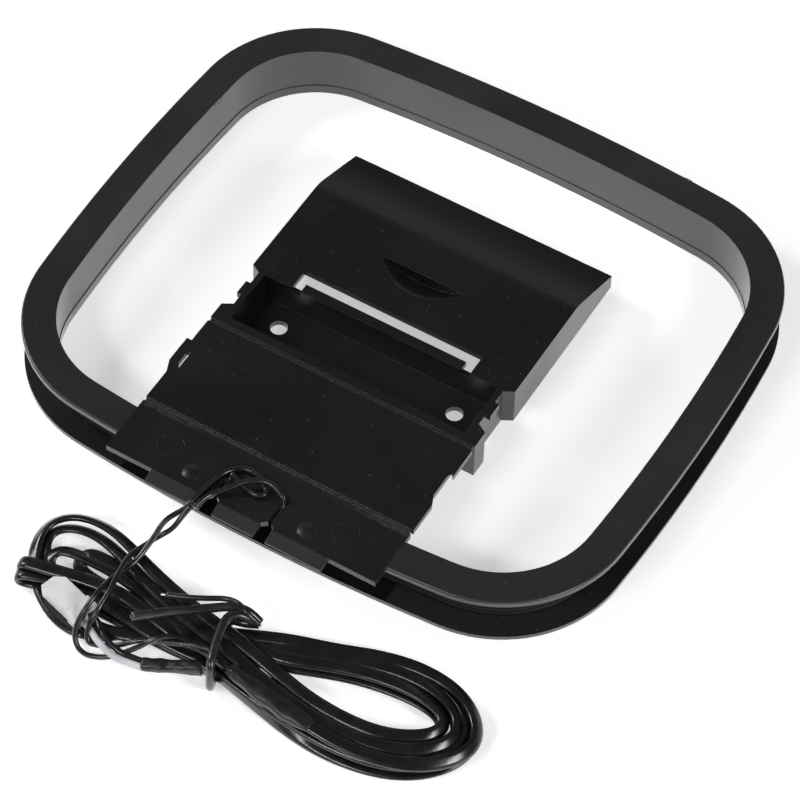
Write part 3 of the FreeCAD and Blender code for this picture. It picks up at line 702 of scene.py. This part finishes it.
left_route = [(-5.55, -49.5, 9.0), (-5.55, -49.5, 12.4), (-4.2, -50.1, 12.4),
              (-2.0, -50.6, 12.15), (0.5, -51.3, 12.15), (2.2, -50.2, 12.15), (1.1, -48.5, 12.15),
              (-1.2, -47.3, 12.15), (-4.0, -47.2, 12.15), (-6.1, -49.0, 12.15),
              (-7.2, -51.8, 12.15), (-7.7, -54.8, 12.15), (-8.3, -58.6, 11.8)]
right_route = [(5.55, -49.5, 9.0), (5.55, -49.5, 12.5), (4.4, -49.0, 12.8), (2.2, -48.3, 13.25),
               (0.0, -48.7, 13.25), (-2.0, -50.2, 13.25), (-3.4, -52.2, 13.05),
               (-5.2, -54.0, 12.25), (-6.6, -55.8, 12.15), (-7.2, -58.6, 11.8)]
left_wire = tube("wire_tail_left", left_route, wire_thickness, lead_insulation, count=12,
                 slot="wire_insulation")
right_wire = tube("wire_tail_right", right_route, wire_thickness, lead_insulation, count=12,
                  slot="wire_insulation")
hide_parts("wire_end_left")
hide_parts("wire_end_right")

# ---------------------------------------------------------------- shrunk sleeves
def shrunk_skin(name, route, sizes, lumps=1.0):
    """A sleeve shrunk over joints: sizes are (share of its length, width, height) along it."""
    line = np.array(line_through(placed(route), 14))
    share = distances(line) / distances(line)[-1]
    keys, widths, heights = (np.array(column) for column in zip(*sizes))
    width = smoothed(np.interp(share, keys, widths), 2) * mm
    height = smoothed(np.interp(share, keys, heights), 2) * mm
    sides = carried_sides(line)
    ups = np.cross(sides, headings(line))
    count = 28
    skin = []
    for i in range(len(line)):
        for j in range(count):
            angle = 2 * math.pi * j / count
            across = math.copysign(abs(math.cos(angle)) ** 0.85, math.cos(angle))
            rise = math.copysign(abs(math.sin(angle)) ** 0.85, math.sin(angle))
            swell = 1 + lumps * (0.03 * math.sin(3 * angle + 19 * share[i]) +
                                 0.022 * math.sin(2 * angle - 33 * share[i]))
            reach = sides[i] * across * width[i] + ups[i] * rise * height[i]
            skin.append(line[i] + reach * swell / 2)
    piece = add_mesh(name, skin, skin_faces(len(line), count), sleeve_rubber, slot="shrink_sleeve")
    check_outward(piece)
    return piece


lead_sleeve = shrunk_skin(
    "lead_sleeve_skin",
    [(13.6, -80.0, 5.75), (16.6, -80.6, 5.8), (20.8, -81.3, 5.8), (25.6, -82.0, 5.75),
     (28.8, -82.3, 5.75), (31.2, -82.35, 5.55)],
    [(0, 2.1, 1.6), (0.05, 2.4, 1.8), (0.26, 2.8, 1.9), (0.42, 3.5, 2.3), (0.54, 3.1, 2.0),
     (0.66, 3.5, 2.25), (0.82, 3.2, 1.9), (0.93, 2.85, 1.6), (0.98, 2.75, 1.5), (1, 2.3, 1.1)])
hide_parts("lead_splice_sleeve")
plug_sleeve = shrunk_skin(
    "plug_sleeve_skin",
    [(8.6, -80.95, 2.9), (5.6, -82.1, 2.65), (2.6, -83.5, 2.35), (-0.9, -85.0, 2.0)],
    [(0, 2.1, 2.6), (0.05, 2.25, 2.75), (0.25, 2.4, 2.6), (0.45, 2.25, 2.2), (0.61, 2.2, 1.8),
     (0.635, 2.75, 2.3), (0.78, 2.4, 1.95), (0.95, 2.5, 2.0), (1, 2.4, 1.9)], lumps=0.8)
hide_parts("plug_splice_sleeve")

# ---------------------------------------------------------------- twist tie
tie_thickness = 1.6
short_tail_thickness = 1.0
tie_band_route = [(12.9, -69.7, 5.5), (11.2, -70.4, 5.2), (9.2, -70.8, 5.0), (7.5, -70.4, 3.6),
                  (7.3, -71.3, 0.95), (8.3, -74.4, 0.82), (9.8, -78.6, 0.82), (10.9, -81.7, 0.9),
                  (11.6, -83.2, 2.4), (11.7, -83.1, 5.4), (11.2, -82.2, 8.1), (10.1, -79.2, 8.35),
                  (8.9, -75.2, 8.3), (8.5, -72.6, 8.3), (9.6, -70.9, 7.6), (11.3, -70.3, 6.6),
                  (12.8, -69.9, 5.9)]
tie_tail_route = [(12.9, -69.3, 5.7), (11.6, -69.3, 6.9), (9.8, -69.7, 7.9), (7.8, -70.6, 8.1),
                  (5.2, -72.3, 7.8), (2.2, -74.6, 7.8), (-1.6, -77.9, 8.3), (-5.2, -81.4, 8.6)]
tie_short_route = [(13.1, -69.9, 6.0), (11.9, -70.2, 7.1), (10.4, -70.0, 8.2), (8.3, -69.1, 7.9),
                   (6.0, -69.2, 7.4), (3.4, -70.9, 7.5), (-0.2, -72.6, 7.2), (-3.3, -73.7, 6.9)]


def strand(name, route, thickness, material, count=14):
    """A tube that is joined to others before it becomes a piece."""
    return tube(name, route, thickness, material, resolution=10, count=count, body=None)


tie = joined([strand("tie_band", tie_band_route, tie_thickness, tie_coating),
              strand("tie_tail", tie_tail_route, tie_thickness, tie_coating),
              strand("tie_short_tail", tie_short_route, short_tail_thickness, tie_coating)],
             "twist_tie_strands", "loop")
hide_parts("twist_tie")


def beyond(route, reach):
    """A short run that carries a route's end on by reach."""
    last, before = Vector(route[-1]), Vector(route[-2])
    ahead = (last - before).normalized()
    return [tuple(last - ahead * 0.6), tuple(last), tuple(last + ahead * reach)]


knot_end = list(reversed(tie_short_route))
joined([strand("tail_wire", beyond(tie_tail_route, 0.12), 0.55, tie_steel, 10),
        strand("short_tail_wire", beyond(tie_short_route, 0.8), 0.5, tie_steel, 10),
        strand("knot_wire", beyond(knot_end, 0.5), 0.5, tie_steel, 10)],
       "twist_tie_wire_tips", "loop")

# ---------------------------------------------------------------- hinge folds
fold_reach = 27.05            # from the middle to the strip's end
fold_steps = 60
fold_middle = 11.4            # height of the strip's core
ridge_across = 0.31
fold_profile = [(-0.45, 11.59), (-0.36, 11.585), (-0.31, 11.60), (-0.25, 11.52), (-0.20, 11.57),
                (-0.14, 11.565), (0.0, 11.56), (0.14, 11.565), (0.20, 11.57), (0.25, 11.52),
                (0.31, 11.60), (0.36, 11.585), (0.45, 11.59), (0.45, 11.27), (0.2, 11.30),
                (-0.2, 11.30), (-0.45, 11.27)]


def hinge_fold(name, hinge_y, material):
    """A living hinge: a thin strip with two raised ridges, lying straight between two plates."""
    line = [place(-fold_reach + 2 * fold_reach * i / fold_steps, hinge_y, fold_middle)
            for i in range(fold_steps + 1)]
    section = [(-across * mm, (height - fold_middle) * mm) for across, height in fold_profile]
    piece = sweep(name, line, np.tile((0.0, -1.0, 0.0), (len(line), 1)), section, material,
                  body=None, smooth=False)
    # The ridge attribute marks where the strip's painted highlight goes.
    ridge = piece.data.attributes.new("ridge", "FLOAT", "POINT")
    count = len(section)
    for i in range(len(piece.data.vertices)):
        across = abs(fold_profile[i % count][0])
        ridge.data[i].value = 1.0 if abs(across - ridge_across) < 0.01 else 0.0
    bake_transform(piece)
    return piece


front_fold = hinge_fold("front_hinge_fold", -43.3, front_hinge_plastic)
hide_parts("front_hinge_web")
rear_fold = hinge_fold("rear_hinge_fold", -22.4, rear_hinge_plastic)
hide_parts("rear_hinge_web")


# ---------------------------------------------------------------- ejector and gate marks
ring_thickness = 0.00006
ring_height = 0.00003


def mark_tree(name, material):
    """Geometry nodes: a shallow ring at each point, with its radius from the point's own value."""
    tree = bpy.data.node_groups.new(name, "GeometryNodeTree")
    tree.is_modifier = True
    sockets, link, add = tree.interface.new_socket, tree.links.new, tree.nodes.new
    sockets("Geometry", in_out="INPUT", socket_type="NodeSocketGeometry")
    for label, value in (("Ring Thickness", ring_thickness), ("Ring Height", ring_height)):
        sockets(label, in_out="INPUT", socket_type="NodeSocketFloat").default_value = value
    sockets("Geometry", in_out="OUTPUT", socket_type="NodeSocketGeometry")
    inside, outside = add("NodeGroupInput"), add("NodeGroupOutput")

    # A ring of one millimetre at each point, grown to the point's radius.
    ring, radius = add("GeometryNodeCurvePrimitiveCircle"), add("GeometryNodeInputNamedAttribute")
    ring.inputs["Resolution"].default_value = 40
    ring.inputs["Radius"].default_value = mm
    radius.data_type = "FLOAT"
    radius.inputs["Name"].default_value = "mark_radius"
    at_points = add("GeometryNodeInstanceOnPoints")
    lines = add("GeometryNodeRealizeInstances")
    link(inside.outputs["Geometry"], at_points.inputs["Points"])
    link(ring.outputs["Curve"], at_points.inputs["Instance"])
    link(radius.outputs[0], at_points.inputs["Scale"])
    link(at_points.outputs["Instances"], lines.inputs["Geometry"])

    # Its section is a flattened circle.
    section, flatten = add("GeometryNodeCurvePrimitiveCircle"), add("GeometryNodeTransform")
    section.inputs["Resolution"].default_value = 6
    squash, ratio = add("ShaderNodeCombineXYZ"), add("ShaderNodeMath")
    squash.inputs[0].default_value = 1.0
    squash.inputs[2].default_value = 1.0
    ratio.operation = "DIVIDE"
    link(inside.outputs["Ring Thickness"], section.inputs["Radius"])
    link(inside.outputs["Ring Height"], ratio.inputs[0])
    link(inside.outputs["Ring Thickness"], ratio.inputs[1])
    link(ratio.outputs[0], squash.inputs[1])
    link(section.outputs["Curve"], flatten.inputs["Geometry"])
    link(squash.outputs[0], flatten.inputs["Scale"])

    to_mesh, realize = add("GeometryNodeCurveToMesh"), add("GeometryNodeRealizeInstances")
    dress = add("GeometryNodeSetMaterial")
    dress.inputs["Material"].default_value = material
    link(lines.outputs["Geometry"], to_mesh.inputs["Curve"])
    link(flatten.outputs["Geometry"], to_mesh.inputs["Profile Curve"])
    link(to_mesh.outputs["Mesh"], realize.inputs["Geometry"])
    link(realize.outputs["Geometry"], dress.inputs["Geometry"])
    link(dress.outputs["Geometry"], outside.inputs["Geometry"])
    return tree


def mould_marks(name, spots, body, material):
    """Rings left by the mould's ejector pins: spots are (x, y, radius) in millimetres."""
    mesh = bpy.data.meshes.new(name)
    mesh.from_pydata([tuple(place(x, y, mark_height)) for x, y, radius in spots], [], [])
    radii = mesh.attributes.new("mark_radius", "FLOAT", "POINT")
    for value, spot in zip(radii.data, spots):
        value.value = spot[2]
    seed = add_object(name + "_points", mesh)
    tree = mark_tree(name + "_rings", material)
    modifier = seed.modifiers.new("rings", "NODES")
    modifier.node_group = tree
    for item in tree.interface.items_tree:
        if item.in_out == "INPUT" and item.socket_type == "NodeSocketFloat":
            modifier[item.identifier] = item.default_value
    view = bpy.context.evaluated_depsgraph_get()
    made = bpy.data.meshes.new_from_object(seed.evaluated_get(view))
    made.name = name
    made.materials.clear()
    made.materials.append(material)
    made.shade_smooth()
    bpy.data.objects.remove(seed)
    piece = add_object(name, made)
    check_outward(piece)
    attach(piece, body)


mark_height = loop_top - 0.005
mould_marks("loop_pin_marks",
            [(-17.9, -49.5, 2.4), (17.9, -49.5, 2.4), (-11.7, -52.5, 1.75), (11.7, -52.5, 1.75),
             (0.2, -53.4, 1.5), (-55.6, 22.0, 2.1), (-36.0, 46.8, 2.1), (30.0, 49.6, 2.1),
             (57.8, 3.0, 2.1), (50.1, -41.8, 2.3)], "loop", loop_plastic)
mould_marks("brace_pin_marks", [(-22.3, -26.5, 2.3), (21.5, -28.1, 0.8)],
            "brace", stand_plastic)
mould_marks("base_pin_marks",
            [(-22.6, -4.8, 2.3), (22.6, -4.8, 2.3), (-16.8, 2.1, 0.35), (-5.8, 3.2, 1.5)],
            "base", stand_plastic)

# ---------------------------------------------------------------- stage and light
floor_half_width = 3.0
floor_glow = 0.5              # what the camera sees on top of the lit floor
mirrored_glow = 1.05          # what gloss and glass see there
backdrop_level = 0.92
backdrop_top = 0.22
room_level = 0.10


def add_stage():
    """A wide pale floor that keeps the object's shadow."""
    floor_white, tree, shader = start_finish("studio_floor", (0.86, 0.86, 0.86), 0.9)
    seen = add_node(tree, "LightPath")
    mirrored = combined(tree, "MAXIMUM", seen.outputs["Is Glossy Ray"],
                        seen.outputs["Is Transmission Ray"])
    bright = combined(tree, "ADD",
                      combined(tree, "MULTIPLY", seen.outputs["Is Camera Ray"], floor_glow),
                      combined(tree, "MULTIPLY", mirrored, mirrored_glow))
    glow = add_node(tree, "Emission", Color=(1, 1, 1, 1))
    tree.links.new(bright, glow.inputs["Strength"])
    both = add_node(tree, "AddShader")
    tree.links.new(shader.outputs[0], both.inputs[0])
    tree.links.new(glow.outputs[0], both.inputs[1])
    tree.links.new(both.outputs[0], tree.nodes["Material Output"].inputs["Surface"])
    corners = [(x * floor_half_width, y * floor_half_width, 0)
               for x, y in ((-1, -1), (1, -1), (1, 1), (-1, 1))]
    add_mesh("studio_floor", corners, [(0, 1, 2, 3)], floor_white, body=None)


def add_softbox(name, spot, aim, width, height, power):
    """A rectangular lamp that faces its aim."""
    data = bpy.data.lights.new(name, "AREA")
    data.shape = "RECTANGLE"
    data.size, data.size_y, data.energy = width, height, power
    lamp = add_object(name, data)
    lamp.location = spot
    lamp.rotation_euler = (Vector(aim) - Vector(spot)).to_track_quat("-Z", "Y").to_euler()


def add_surroundings():
    """A dim room with a pale backdrop standing all round, low behind the table's edge."""
    world = bpy.data.worlds.new("studio")
    world.use_nodes = True
    bpy.context.scene.world = world
    tree = world.node_tree
    back = tree.nodes["Background"]
    back.inputs["Color"].default_value = (0.96, 0.98, 1.0, 1)
    direction = add_node(tree, "TexCoord")
    height = place_parts(tree, direction.outputs["Generated"])[2]
    level = stretched(tree, height, 0.0, backdrop_top, backdrop_level, room_level, smooth=True)
    tree.links.new(level, back.inputs["Strength"])


# Each softbox has its spot, its aim, its width and height in metres, and its power in watts.
softboxes = [("softbox_left", (-0.80, -0.10, 0.58), (0, 0, 0), 0.22, 0.30, 4.2),
             ("softbox_right", (0.80, -0.22, 0.55), (0, 0, 0), 0.22, 0.30, 4.3),
             ("softbox_front", (-0.15, -0.72, 0.66), (0, -0.02, 0), 0.34, 0.15, 3.0),
             ("softbox_back", (-0.35, 0.85, 0.50), (0, 0, 0), 0.60, 0.16, 0.2)]
add_stage()
for softbox in softboxes:
    add_softbox(*softbox)
add_surroundings()
bpy.context.scene.view_settings.view_transform = "Standard"

# ---------------------------------------------------------------- carried-over solids
node_finishes = {
    "loop_frame": loop_plastic, "brace_panel": stand_plastic, "stand_base": stand_plastic,
    "loop_winding": winding_enamel,
    "plug_housing": plug_nylon,
    "plug_wire_white": white_insulation, "plug_wire_black": lead_insulation,
    "plug_contact_first": tinned_brass, "plug_contact_second": tinned_brass,
    "lead_splice_joint_first": solder_tin, "lead_splice_joint_second": solder_tin,
    "plug_splice_joint_first": solder_tin, "plug_splice_joint_second": solder_tin}
for name, finish in node_finishes.items():
    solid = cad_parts[name]
    if not solid.material_slots:
        solid.data.materials.append(finish)
    for slot in solid.material_slots:
        slot.material = finish
